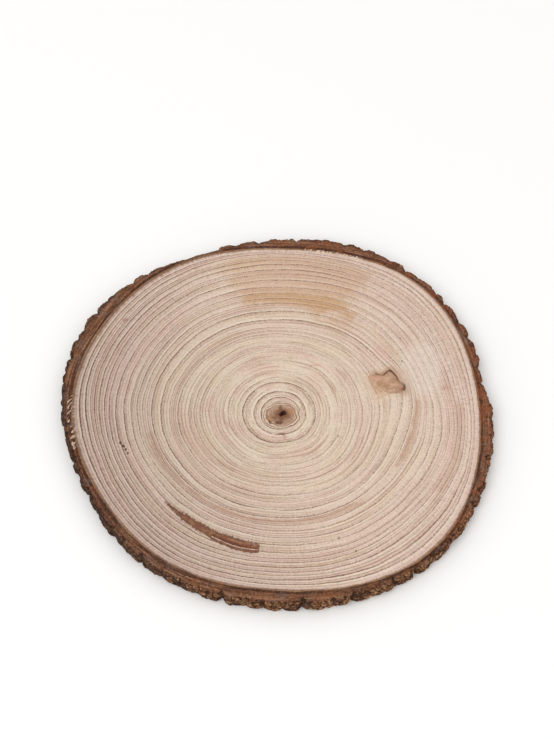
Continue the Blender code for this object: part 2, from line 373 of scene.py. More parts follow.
@dataclass
class Skin:
    """A closed surface: rows of points round the trunk, each joined to the next by a band of faces.

    Traits are kept for each point, and charts hold the bake map of each band's near left, far left, far
    right and near right corners.
    """

    name: str
    points: Array
    traits: dict[str, Array]
    charts: Array
    ends_join: bool

    def build(self) -> bpy.types.Object:
        """Makes the object, in metres. Rows that don't join at their ends are closed to their middles.

        Returns:
            The object, in the scene.
        """
        rows, columns, _ = self.points.shape
        here = np.arange(columns)
        there = (here + 1) % columns
        near = np.arange(len(self.charts))[:, None] * columns
        far = (near + columns) % (rows * columns)
        quads = np.stack([near + here, far + here, far + there, near + there], axis=2)
        faces = quads.reshape(-1, 4).tolist()
        points = self.points.reshape(-1, 3)
        spots = self.charts.transpose(0, 2, 1, 3).reshape(-1, 2)
        if not self.ends_join:
            last = (rows - 1) * columns
            top, foot = len(points), len(points) + 1
            faces += [[top, i, j] for i, j in zip(here.tolist(), there.tolist())]
            faces += [[foot, last + j, last + i] for i, j in zip(here.tolist(), there.tolist())]
            points = np.concatenate([points, self.points[[0, -1]].mean(axis=1)])
            for left, right in (self.charts[0, [0, 3]], self.charts[-1, [2, 1]]):
                middle = np.broadcast_to(left.mean(axis=0), left.shape)
                spots = np.concatenate([spots, np.stack([middle, left, right], axis=1).reshape(-1, 2)])
        mesh = bpy.data.meshes.new(self.name)
        mesh.from_pydata((points * MM).tolist(), [], faces)
        mesh.uv_layers.new(name=BAKE_MAP).uv.foreach_set("vector", spots.astype(np.float32).ravel())
        for name, rows_of_values in self.traits.items():
            values = rows_of_values.reshape(-1)
            if not self.ends_join:
                values = np.concatenate([values, rows_of_values[[0, -1]].mean(axis=1)])
            trait = mesh.attributes.new(name, "FLOAT", "POINT")
            trait.data.foreach_set("value", values.astype(np.float32))
        mesh.shade_smooth()
        piece = bpy.data.objects.new(self.name, mesh)
        bpy.context.scene.collection.objects.link(piece)
        return piece


@dataclass(frozen=True)
class Finish(ABC):
    """A material made of nodes, from traits of the piece's points and from places on it in millimetres."""

    name: str
    traits: tuple[str, ...]
    roughness: float
    ior: float
    relief: float
    gloss: float = 0.25
    tear_angle: float = math.radians(50)

    def material(self) -> bpy.types.Material:
        """Makes the material.

        Returns:
            The material, with one surface shader and its nodes.
        """
        material = bpy.data.materials.new(self.name)
        material.use_nodes = True
        tree = material.node_tree
        tree.nodes.clear()
        found = {name: add(tree, "Attribute", out="Fac", attribute_name=name) for name in self.traits}
        own = add(tree, "TexCoord", out="Object")
        found["place"] = add(tree, "VectorMath", {0: own, "Scale": 1 / MM}, operation="SCALE")
        flat = add(tree, "VectorMath", (own, (1, 1, 0)), operation="MULTIPLY")
        found["ray"] = add(tree, "VectorMath", (flat,), operation="NORMALIZE")
        turn = {"Vector": found["place"], "Angle": -self.tear_angle}
        found["slant"] = add(tree, "VectorRotate", turn, rotation_type="Z_AXIS")
        colour, height = self.pattern(tree, found)
        bump = {"Strength": 1.0, "Distance": self.relief * MM, "Height": height}
        surface = {
            "Base Color": colour,
            "Roughness": self.roughness,
            "IOR": self.ior,
            "Specular IOR Level": self.gloss,
            "Normal": add(tree, "Bump", bump),
        }
        add(tree, "OutputMaterial", {"Surface": add(tree, "BsdfPrincipled", surface)})
        return material

    def noises(self, tree: Tree, wanted: Sequence[Cloudiness]) -> dict[str, Socket]:
        """Adds noise textures.

        Args:
            tree: The material's nodes.
            wanted: Each one's name, coordinates, scale along each of them, detail and distortion.

        Returns:
            The noises by name, each from 0 to 1 and mostly near a half.
        """
        made = {}
        for name, base, stretch, detail, bent in wanted:
            moved = add(tree, "VectorMath", (base, stretch), operation="MULTIPLY")
            settings = {"Vector": moved, "Scale": 1.0, "Detail": detail, "Distortion": bent}
            made[name] = add(tree, "TexNoise", settings)
        return made

    def coats(self, tree: Tree, colour: Socket, coats: Sequence[Coat]) -> Socket:
        """Tints a colour, coat on coat.

        Args:
            tree: The material's nodes.
            colour: The colour beneath.
            coats: For each a mask (or a sum as an operation and its terms), where the mask starts and is
                full, how opaque the coat is there, and its colour.

        Returns:
            The colour with its coats.
        """
        for mask, low, high, most, tint in coats:
            if isinstance(mask, tuple):
                operation, *terms = mask
                mask = add(tree, "Math", terms, operation=operation)
            span = {0: mask, 1: low, 2: high, 4: most}
            part = add(tree, "MapRange", span, interpolation_type="SMOOTHSTEP")
            colour = add(tree, "Mix", {0: part, 6: colour, 7: linear(tint)}, 2, data_type="RGBA")
        return colour

    @abstractmethod
    def pattern(self, tree: Tree, found: dict[str, Socket]) -> tuple[Socket, Socket]:
        """Adds the nodes of the finish's own look.

        Args:
            tree: The material's nodes.
            found: The traits by name, the place in millimetres, and the direction from the pith.

        Returns:
            The colour, and the height of the fine relief from 0 to 1.
        """


@dataclass(frozen=True)
class SawnConifer(Finish):
    """Conifer end grain, sawn across and lightly sanded.

    A pale, matt, faintly pink surface. Each year ends in a thin dark line of hard latewood, soft on the
    side of the pith and sharp on the side of the bark. A spot is its place, its half-sizes, how opaque it
    is, and its colour.
    """

    # Spruce or fir, sawn across and lightly sanded: pale and without shine, crossed by thin dark rings.
    name: str = "sawn_conifer_end_grain"
    traits: tuple[str, ...] = (
        "age", "width", "strength", "upper", "grown", "knot", "crack", "pocket", "seam", "brown", "ochre",
        "rim", "torn",
    )  # fmt: skip
    roughness: float = 0.72
    ior: float = 1.5
    relief: float = 0.22
    young_cream: str = "#d8c6b1"
    old_cream: str = "#d7c1b1"
    line: str = "#67483c"
    cream_reach: Span = (35.0, 120.0)
    ray_reach: Span = (60.0, 130.0)
    ray_shares: Span = (0.2, 1.0)
    line_width: Span = (0.45, 1.05)
    line_reach: Span = (-60.0, 110.0)
    line_breadths: Span = (0.76, 0.98)
    line_patches: Span = (0.6, 1.2)
    line_stitches: Span = (0.6, 1.4)
    year_waver: float = 0.16
    false_ring_from: float = 4.6
    false_ring_width: Span = (1.0, 0.1)
    false_ring_cover: Span = (0.4, 0.56)
    false_ring_drift: float = 0.0012
    shaded_way: Way = (-0.9, -0.3, 0.0)
    shade_reach: float = 115.0
    shade: float = 0.79
    grain_tones: Span = (1.18, 0.82)
    pocket_reddens: Span = (-52.0, -40.0)
    pocket_teeth: float = 2.2
    mark_raggedness: float = 3.0
    heart_place: Span = (-0.8, -1.6)
    heart_size: Span = (11.4, 9.6)
    heart_edge: float = 10.0
    heart_waver: float = 3.0
    heart_ripples: float = 3.6
    heart_ripple_ends: tuple[Span, ...] = ((13.5, 11.5), (6.5, 9.5))
    spots: tuple[tuple[float, float, float, float, float, str], ...] = (
        (0.2, 0.0, 6.5, 5.4, 0.7, "#77492c"),
        (0.6, 0.2, 3.2, 2.8, 1.0, "#301006"),
        (-1.2, -1.0, 2.6, 2.0, 0.8, "#4e2812"),
        (-2.5, -7.6, 3.4, 2.0, 0.85, "#5a3728"),
        (-1.2, -4.6, 2.0, 2.2, 0.7, "#6b4634"),
        (-1.4, 4.9, 1.6, 2.8, 0.7, "#6b4634"),
        (-5.5, -3.6, 1.8, 1.4, 0.7, "#6f4a34"),
        (-8.5, -4.6, 2.8, 3.6, 0.5, "#a8774c"),
        (-8.8, -7.0, 1.6, 1.9, 0.75, "#6d452d"),
        (6.4, 1.8, 3.6, 4.6, 0.45, "#a5744c"),
        (4.4, 7.0, 2.6, 1.2, 0.45, "#96604e"),
        (-1.2, -17.0, 4.0, 1.5, 0.7, "#84594b"),
        (1.2, -19.6, 1.6, 3.4, 0.45, "#a07b6c"),
        (38.6, -18.8, 1.3, 1.3, 0.6, "#7b604c"),
        (38.1, -100.8, 0.9, 1.1, 0.7, "#5f4b3f"),
        (49.5, -110.9, 0.8, 1.0, 0.7, "#5f4b3f"),
        (83.9, 64.2, 1.0, 1.0, 0.7, "#5c493d"),
        (84.8, 44.3, 1.0, 1.0, 0.8, "#4c3a2f"),
        (-112.9, 79.9, 3.0, 2.0, 0.5, "#8f5e4c"),
        (-112.3, -24.5, 1.4, 1.8, 0.9, "#4b2a20"),
        (-110.8, -27.2, 1.5, 1.7, 0.9, "#4b2a20"),
        (-109.0, -29.8, 1.4, 1.7, 0.85, "#4b2a20"),
        (-107.5, -32.8, 1.1, 1.3, 0.8, "#5c3a2e"),
        (72.0, 52.0, 9.0, 9.0, 0.3, "#cda092"),
        (70.0, 14.0, 6.5, 6.0, 0.4, "#d9c1a8"),
        (66.5, 29.8, 7.0, 4.0, 0.45, "#c0907a"),
        (71.5, 22.5, 5.5, 4.5, 0.4, "#a57f5c"),
        (85.5, 31.5, 6.0, 9.0, 0.4, "#c29f82"),
        (82.6, 20.6, 4.4, 3.4, 0.45, "#946450"),
        (79.0, 17.6, 6.0, 1.3, 0.4, "#94694c"),
        (85.6, 22.4, 1.3, 4.2, 0.75, "#542a20"),
        (115.3, 21.2, 4.6, 3.4, 0.45, "#b58a7a"),
        (98.0, 38.0, 20.0, 30.0, 0.3, "#e2d5c8"),
        (22.3, 40.9, 6.5, 0.8, 0.4, "#b5776a"),
        (16.0, 38.6, 4.0, 0.7, 0.3, "#b5776a"),
    )

    def pattern(self, tree: Tree, found: dict[str, Socket]) -> tuple[Socket, Socket]:
        """Adds rings, streaks, stains, pith, knot and bark pocket.

        Args:
            tree: The material's nodes.
            found: The traits by name, the place in millimetres, and the direction from the pith.

        Returns:
            The colour, and the height of the fine relief.
        """
        place, ray = found["place"], found["ray"]
        years = add(tree, "CombineXYZ", {"Z": found["age"]})
        ring = add(tree, "VectorMath", (ray, years), operation="ADD")
        # Scales are waves to a millimetre, or to a radian and to a year where they follow the rings. The
        # wood's rays are 0.03 mm thick and its saw scores 0.2 mm apart. At 0.7 mm to a pixel both are too
        # fine to show, so rays are drawn 1 to 2 mm apart and the sanded grain 1.1 mm.
        wanted = (
            ("hue", ring, (1.3, 1.3, 0.55), 1.0, 0.0),
            ("patch", ring, (2.6, 2.6, 0.9), 1.0, 0.0),
            ("streak", ring, (1.0, 1.0, 4.0), 2.0, 0.0),
            ("thread", ring, (0.7, 0.7, 2.8), 1.0, 0.0),
            ("rays", ring, (75.0, 75.0, 0.6), 1.0, 0.0),
            ("dash", found["slant"], (0.2, 0.8, 0.2), 1.0, 0.0),
            ("wobble", place, (0.22, 0.22, 0.22), 2.0, 0.0),
            ("grain", place, (0.9, 0.9, 0.9), 2.0, 0.0),
            ("fibre", place, (0.2, 0.3, 0.2), 3.0, 0.6),
        )
        mm = self.noises(tree, wanted)
        old = add(tree, "MapRange", (found["grown"], *self.cream_reach))
        creams = {0: old, 6: linear(self.young_cream), 7: linear(self.old_cream)}
        colour = add(tree, "Mix", creams, 2, data_type="RGBA")
        side = add(tree, "VectorMath", (place, self.shaded_way), "Value", operation="DOT_PRODUCT")
        line, late, early, fine = self.late(tree, found, mm, side)
        thread = add(tree, "Math", (mm["thread"], 0.5), operation="SUBTRACT")
        thread = add(tree, "Math", (thread,), operation="ABSOLUTE")
        ray_share = add(tree, "MapRange", (found["grown"], *self.ray_reach, *self.ray_shares))
        rays = add(tree, "Math", (mm["rays"], 0.5), operation="SUBTRACT")
        rays = add(tree, "Math", (rays, ray_share), operation="MULTIPLY")
        coats = (
            (mm["hue"], 0.48, 0.7, 0.42, "#cfa898"),
            (mm["hue"], 0.52, 0.3, 0.35, "#d0ba98"),
            (mm["streak"], 0.5, 0.75, 0.5, "#b28c75"),
            (thread, 0.04, 0.005, 0.35, "#9b7763"),
            (rays, 0.0, 0.22, 0.2, "#a48777"),
            (rays, 0.0, -0.22, 0.16, "#e6d7c8"),
            (found["brown"], 0.0, 1.0, 0.62, "#b0846a"),
            (found["ochre"], 0.0, 1.0, 0.85, "#bf966c"),
            (early, 0.0, 1.0, 0.35, "#eadbc9"),
            (late, 0.0, 1.0, 0.46, "#9e7867"),
            (fine, 0.0, 1.0, 0.52, "#8a6452"),
            (line, 0.0, 1.0, 0.92, self.line),
            (found["grown"], 141.5, 143.0, 0.4, "#d5bbae"),
            (("MULTIPLY_ADD", mm["rays"], 0.8, found["rim"]), 0.55, 1.35, 0.85, "#83614a"),
        )
        colour = self.coats(tree, colour, coats)
        colour = self.heart(tree, colour, place, mm)
        knot, crack, pocket = found["knot"], found["crack"], found["pocket"]
        teeth = add(tree, "Math", (mm["rays"], self.pocket_teeth, pocket), operation="MULTIPLY_ADD")
        right = add(tree, "VectorMath", (place, (1.0, 0.0, 0.0)), "Value", operation="DOT_PRODUCT")
        right = add(tree, "MapRange", (right, *self.pocket_reddens))
        coats = (
            (knot, -6.0, 0.0, 0.45, "#cba889"),
            (knot, -0.6, 0.6, 0.75, "#bf997c"),
            (("MULTIPLY_ADD", mm["fibre"], 22.0, knot), 12.0, 17.0, 0.65, "#9a7252"),
            (("MULTIPLY_ADD", mm["fibre"], -22.0, knot), -8.5, -4.0, 0.5, "#d0aa8e"),
            (("ABSOLUTE", knot), 1.0, 0.2, 0.2, "#835d45"),
            # Painted shade of the open crack: a brown border beside it, then a near-black line in its gap.
            (("MULTIPLY_ADD", mm["grain"], 5.0, crack), 12.0, 3.0, 0.5, "#93664b"),
            (("MULTIPLY_ADD", mm["grain"], 2.2, crack), 2.5, 1.6, 0.85, "#65402c"),
            (("MULTIPLY_ADD", mm["grain"], 2.0, crack), 1.6, 0.9, 0.9, "#33190e"),
            (("MULTIPLY_ADD", mm["grain"], 2.2, teeth), 1.8, 2.6, 0.9, "#6b412b"),
            (("MULTIPLY_ADD", mm["grain"], 3.0, teeth), 3.1, 4.8, 0.8, "#8a583f"),
            (("MULTIPLY_ADD", mm["fibre"], 14.0, pocket), 8.0, 10.2, 0.6, "#a87d5b"),
            (("MULTIPLY", right, teeth), 2.2, 4.0, 0.5, "#8a4636"),
            (("SUBTRACT", teeth, found["seam"]), 0.6, 2.4, 0.6, "#6a3a2b"),
            (("MULTIPLY_ADD", mm["grain"], -5.0, pocket), -0.5, 0.8, 0.55, "#522f21"),
            (("MULTIPLY_ADD", mm["grain"], 0.9, found["seam"]), 0.9, 0.65, 0.8, "#d3b6a5"),
            (("MULTIPLY", mm["dash"], found["torn"]), 0.66, 0.77, 0.6, "#e8d8c8"),
        )
        colour = self.coats(tree, colour, coats)
        shift = add(tree, "CombineXYZ", {"X": mm["wobble"], "Y": mm["grain"]})
        shift = add(tree, "VectorMath", {0: shift, "Scale": self.mark_raggedness}, operation="SCALE")
        ragged = add(tree, "VectorMath", (place, shift), operation="ADD")
        mean = self.mark_raggedness / 2
        for x_mm, y_mm, long, high, most, tint in self.spots:
            middle = (x_mm + mean, y_mm + mean, 0.0)
            away = add(tree, "VectorMath", (ragged, middle), operation="SUBTRACT")
            away = add(tree, "VectorMath", (away, (1 / long, 1 / high, 0.0)), operation="MULTIPLY")
            far = add(tree, "VectorMath", (away,), "Value", operation="LENGTH")
            part = add(tree, "MapRange", (far, 1.0, 0.5), interpolation_type="SMOOTHSTEP")
            colour = self.coats(tree, colour, ((("MULTIPLY", part, found["upper"]), 0.0, 1.0, most, tint),))
        tone = add(tree, "MapRange", (mm["grain"], *MOST_NOISE, *self.grain_tones))
        shade = add(tree, "MapRange", (side, 0.0, self.shade_reach, 1.0, self.shade))
        tone = add(tree, "Math", (tone, shade), operation="MULTIPLY")
        colour = add(tree, "VectorMath", {0: colour, "Scale": tone}, operation="SCALE")
        height = add(tree, "Math", (line, 0.5, mm["grain"]), operation="MULTIPLY_ADD")
        return colour, height

    def late(
        self, tree: Tree, found: dict[str, Socket], mm: dict[str, Socket], side: Socket
    ) -> tuple[Socket, Socket, Socket, Socket]:
        """Finds where in its year each place lies.

        Args:
            tree: The material's nodes.
            found: The traits by name.
            mm: The noises by name.
            side: How far each place lies towards the shaded side, in millimetres.

        Returns:
            How much it belongs to a line, the brown before it, the pale after it, and a false ring.
        """
        waver = (mm["wobble"], self.year_waver, found["age"])
        age = add(tree, "Math", waver, operation="MULTIPLY_ADD")
        age = add(tree, "Math", (age, self.year_waver / 2), operation="SUBTRACT")
        share = add(tree, "Math", (age,), operation="FRACT")
        rest = add(tree, "Math", (1.0, share), operation="SUBTRACT")
        near = add(tree, "Math", (share, rest), operation="MINIMUM")
        near = add(tree, "Math", (near, found["width"]), operation="MULTIPLY")
        inside = add(tree, "Math", (share, 0.5), operation="GREATER_THAN")
        width = add(tree, "MapRange", {0: inside, 3: self.line_width[0], 4: self.line_width[1]})
        broad = add(tree, "MapRange", (side, *self.line_reach, *self.line_breadths))
        width = add(tree, "Math", (width, broad), operation="MULTIPLY")
        near = add(tree, "Math", (near, width), operation="DIVIDE")
        strong = add(tree, "Math", (found["strength"], broad), operation="MULTIPLY")
        for cloudy, tones in ((mm["patch"], self.line_patches), (mm["grain"], self.line_stitches)):
            uneven = add(tree, "MapRange", (cloudy, *MID_NOISE, *tones))
            strong = add(tree, "Math", (strong, uneven), operation="MULTIPLY")
        bands = (
            (near, 1.0, 0.05, "SMOOTHSTEP"),
            (share, 0.3, 1.0, "SMOOTHERSTEP"),
            (share, 0.45, 0.12, "SMOOTHSTEP"),
        )
        parts_of_year = []
        for place, start, full, easing in bands:
            band = add(tree, "MapRange", (place, start, full), interpolation_type=easing)
            part = add(tree, "Math", (band, strong), operation="MULTIPLY", use_clamp=True)
            parts_of_year.append(part)
        parts = add(tree, "Math", (found["width"], self.false_ring_from), operation="GREATER_THAN")
        parts = add(tree, "Math", (parts, 2.0), operation="ADD")
        parts = add(tree, "Math", (age, parts), operation="MULTIPLY")
        parts = add(tree, "Math", (parts, 0.5), operation="PINGPONG")
        apart = add(tree, "Math", (parts, found["width"]), operation="MULTIPLY")
        fine = add(tree, "MapRange", (apart, *self.false_ring_width), interpolation_type="SMOOTHSTEP")
        drift = (side, self.false_ring_drift, mm["streak"])
        there = add(tree, "Math", drift, operation="MULTIPLY_ADD")
        there = add(tree, "MapRange", (there, *self.false_ring_cover))
        return (*parts_of_year, add(tree, "Math", (fine, there), operation="MULTIPLY"))

    def heart(self, tree: Tree, colour: Socket, place: Socket, mm: dict[str, Socket]) -> Socket:
        """Adds the brown core round the pith and the hair-thin rings of its first years.

        Args:
            tree: The material's nodes.
            colour: The colour beneath.
            place: Places in millimetres.
            mm: The noises by name.

        Returns:
            The colour with the core.
        """
        middle = (*self.heart_place, 0.0)
        reach = (*(self.heart_edge / size for size in self.heart_size), 0.0)
        away = add(tree, "VectorMath", (place, middle), operation="SUBTRACT")
        away = add(tree, "VectorMath", (away, reach), operation="MULTIPLY")
        far = add(tree, "VectorMath", (away,), "Value", operation="LENGTH")
        bent = add(tree, "Math", (mm["wobble"], self.heart_waver, far), operation="MULTIPLY_ADD")
        bent = add(tree, "Math", (bent, self.heart_waver / 2), operation="SUBTRACT")
        turns = add(tree, "Math", (bent, self.heart_ripples), operation="MULTIPLY")
        waves = add(tree, "Math", (turns,), operation="SINE")
        for ends in self.heart_ripple_ends:
            window = add(tree, "MapRange", (bent, *ends))
            waves = add(tree, "Math", (waves, window), operation="MULTIPLY")
        coats = (
            (bent, 14.5, 10.5, 0.3, "#b79783"),
            (bent, 10.4, 9.2, 0.75, "#ab8669"),
            (bent, 9.5, 1.0, 0.8, "#87614a"),
            (waves, 0.1, 0.8, 0.65, "#79543f"),
            (waves, -0.2, -0.8, 0.6, "#e0ccb9"),
            (("MULTIPLY_ADD", mm["fibre"], -16.0, bent), 0.0, -5.0, 0.45, "#6b4937"),
        )
        return self.coats(tree, colour, coats)


@dataclass(frozen=True)
class ConiferBark(Finish):
    """Conifer bark: layered and smooth where the saw cut it, rough, scaly and weathered outside.

    The cut shows a tan line of inner bark, then thin brown layers that follow the trunk. The outside is
    brown with rusty and grey patches where scales have come off. Painted shade makes its cracks and
    furrows nearly black.
    """

    # Spruce or fir bark, sawn above and as it grew outside: dull brown, with grey in the weathered parts.
    name: str = "rough_conifer_bark"
    traits: tuple[str, ...] = ("deep", "share", "side", "crevice_shade", "scale", "bare", "torn")
    roughness: float = 0.88
    ior: float = 1.45
    relief: float = 0.5
    layer_sway: float = 4.0
    layer_span: Span = (2.0, 12.0)
    dark_way: Way = (-0.94, -0.34, 0.0)
    speck_tones: Span = (0.56, 1.44)

    def pattern(self, tree: Tree, found: dict[str, Socket]) -> tuple[Socket, Socket]:
        """Adds the cut layers and the weathered side.

        Args:
            tree: The material's nodes.
            found: The traits by name, the place in millimetres, and the direction from the pith.

        Returns:
            The colour, and the height of the fine relief.
        """
        place, ray = found["place"], found["ray"]
        layers = add(tree, "CombineXYZ", {"Z": found["deep"]})
        ring = add(tree, "VectorMath", (ray, layers), operation="ADD")
        # Scales are waves to a millimetre, or to a radian and to a millimetre of depth where they follow
        # the cut's layers. Those are 0.2 mm thin, too fine to show, and are drawn 0.8 mm thick. The
        # outside's crumbs and patches are 5 and 8 mm across, as on a trunk of this size.
        wanted = (
            ("sway", ring, (6.0, 6.0, 0.15), 3.0, 0.0),
            ("layer", ring, (6.0, 6.0, 1.3), 3.0, 0.3),
            ("dash", found["slant"], (0.2, 0.8, 0.2), 1.0, 0.0),
            ("patch", place, (0.13, 0.13, 0.13), 2.0, 0.0),
            ("crumb", place, (0.2, 0.2, 0.26), 4.0, 0.6),
            ("speck", place, (0.7, 0.7, 0.7), 2.0, 0.0),
            ("grain", place, (0.9, 0.9, 0.9), 3.0, 0.0),
        )
        mm = self.noises(tree, wanted)
        sway = (mm["sway"], self.layer_sway, found["deep"])
        bent = add(tree, "Math", sway, operation="MULTIPLY_ADD")
        layered = add(tree, "MapRange", (bent, *self.layer_span))
        cut = add(
            tree,
            "ValToRGB",
            (layered,),
            stops=(
                (0.0, "#94704f"),
                (0.08, "#765038"),
                (0.17, "#3d2114"),
                (0.28, "#4a2c1e"),
                (0.4, "#7b5139"),
                (0.5, "#5a3625"),
                (0.64, "#8b6045"),
                (0.82, "#6f4833"),
                (1.0, "#553525"),
            ),
        )
        outside = add(
            tree,
            "ValToRGB",
            (mm["crumb"],),
            stops=(
                (0.32, "#3b200e"),
                (0.43, "#5f3a20"),
                (0.53, "#845835"),
                (0.63, "#a2784f"),
                (0.74, "#c9a67a"),
            ),
        )
        colour = add(tree, "Mix", {0: found["side"], 6: cut, 7: outside}, 2, data_type="RGBA")
        left = add(tree, "VectorMath", (ray, self.dark_way), "Value", operation="DOT_PRODUCT")
        coats = (
            (left, 0.1, 1.0, 0.5, "#4d3026"),
            (left, -0.1, -1.0, 0.28, "#834c37"),
            (mm["layer"], 0.5, 0.32, 0.68, "#341d12"),
            (mm["layer"], 0.52, 0.68, 0.58, "#a98265"),
            (mm["grain"], 0.53, 0.7, 0.45, "#a47550"),
            (mm["grain"], 0.47, 0.3, 0.6, "#351c10"),
            (("MULTIPLY_ADD", mm["layer"], 2.5, found["deep"]), 4.5, 3.2, 0.62, "#3f231a"),
            (("MULTIPLY_ADD", mm["sway"], 2.0, found["deep"]), 2.2, 1.5, 0.5, "#bb926b"),
            (("MULTIPLY", left, found["side"]), -0.1, -0.8, 0.35, "#95583a"),
            (mm["patch"], 0.5, 0.64, 0.3, "#84502f"),
            (("MULTIPLY_ADD", left, -0.22, mm["patch"]), 0.64, 0.82, 0.35, "#85492d"),
            (mm["patch"], 0.46, 0.32, 0.3, "#76635a"),
            (("MULTIPLY", found["scale"], found["side"]), 0.5, 1.0, 0.45, "#aa7f50"),
            (("SUBTRACT", found["side"], found["scale"]), 0.55, 1.0, 0.45, "#452817"),
            (("MULTIPLY_ADD", mm["speck"], 1.2, found["share"]), 1.7, 1.84, 0.5, "#b8977a"),
            (("MULTIPLY_ADD", mm["crumb"], 0.8, found["bare"]), 0.75, 1.3, 0.6, "#7c5a40"),
            (("MULTIPLY_ADD", mm["speck"], -1.2, found["share"]), 0.4, 0.54, 0.6, "#33180a"),
            (("MULTIPLY", left, found["share"]), 0.62, 0.95, 0.6, "#2e1b13"),
            # Painted shade: nearly black in the cracks between scales, in the furrows and in the crumbled
            # hollows of the cut.
            (found["crevice_shade"], 0.3, 0.85, 0.8, "#2e180c"),
            (("MULTIPLY", mm["dash"], found["torn"]), 0.65, 0.76, 0.75, "#d8bca4"),
        )
        colour = self.coats(tree, colour, coats)
        tone = add(tree, "MapRange", (mm["speck"], *MOST_NOISE, *self.speck_tones))
        colour = add(tree, "VectorMath", {0: colour, "Scale": tone}, operation="SCALE")
        return colour, mm["crumb"]


@dataclass(frozen=True)
class Stretch:
    """A part of the rings between two bearings and two mean radii, with soft edges."""

    start: float
    end: float
    inner: float
    outer: float
    share: float = 1.0
    soft_turn: float = 12.0
    soft_growth: float = 2.0

    def cover(self, bearing: Array, grown: Array, ragged: Array) -> Array:
        """How far each place lies in the stretch, from 0 to its share.

        Args:
            bearing: Bearings of the places.
            grown: Mean radii of their rings.
            ragged: Noise that frays the edges.

        Returns:
            A number for each place.
        """
        middle, half = (self.start + self.end) / 2, (self.end - self.start) / 2
        turned = half - np.abs((bearing - middle + 180) % 360 - 180) + 0.5 * ragged * self.soft_turn
        across = np.minimum(grown - self.inner, self.outer - grown) + 0.4 * ragged * self.soft_growth
        return self.share * step(turned, 0, self.soft_turn) * step(across, 0, self.soft_growth)


@dataclass(frozen=True)
class Pocket:
    """Ingrown bark: a blunt wedge that follows the rings, split towards one end by a thread of wood."""

    bearings: tuple[float, ...] = (221.0, 226.6, 232.0, 241.0, 246.6, 254.0, 262.0)
    inner: tuple[float, ...] = (110.7, 109.1, 108.3, 108.4, 108.7, 109.4, 110.3)
    outer: tuple[float, ...] = (110.9, 111.6, 112.9, 114.0, 115.9, 117.4, 117.4)
    seam_bearings: tuple[float, ...] = (244.0, 255.0, 262.0)
    seam: tuple[float, ...] = (113.2, 114.9, 114.6)

    def inside(self, bearing: Array, grown: Array) -> Array:
        """How deep each place lies in the pocket.

        Args:
            bearing: Bearings of the places.
            grown: Mean radii of their rings.

        Returns:
            Millimetres inside the pocket's outline, less than 0 outside.
        """
        length = np.minimum(bearing - self.bearings[0], self.bearings[-1] - bearing)
        length = length * math.radians(1) * grown
        low, high = (np.interp(bearing, self.bearings, edge) for edge in (self.inner, self.outer))
        across = np.minimum(grown - low, high - grown)
        return across + length - np.hypot(across, length)

    def from_seam(self, bearing: Array, grown: Array) -> Array:
        """How many millimetres each place is from the thread of wood."""
        beyond = np.maximum(self.seam_bearings[0] - bearing, bearing - self.seam_bearings[-1])
        return np.abs(grown - np.interp(bearing, self.seam_bearings, self.seam)) + 2 * np.maximum(0, beyond)


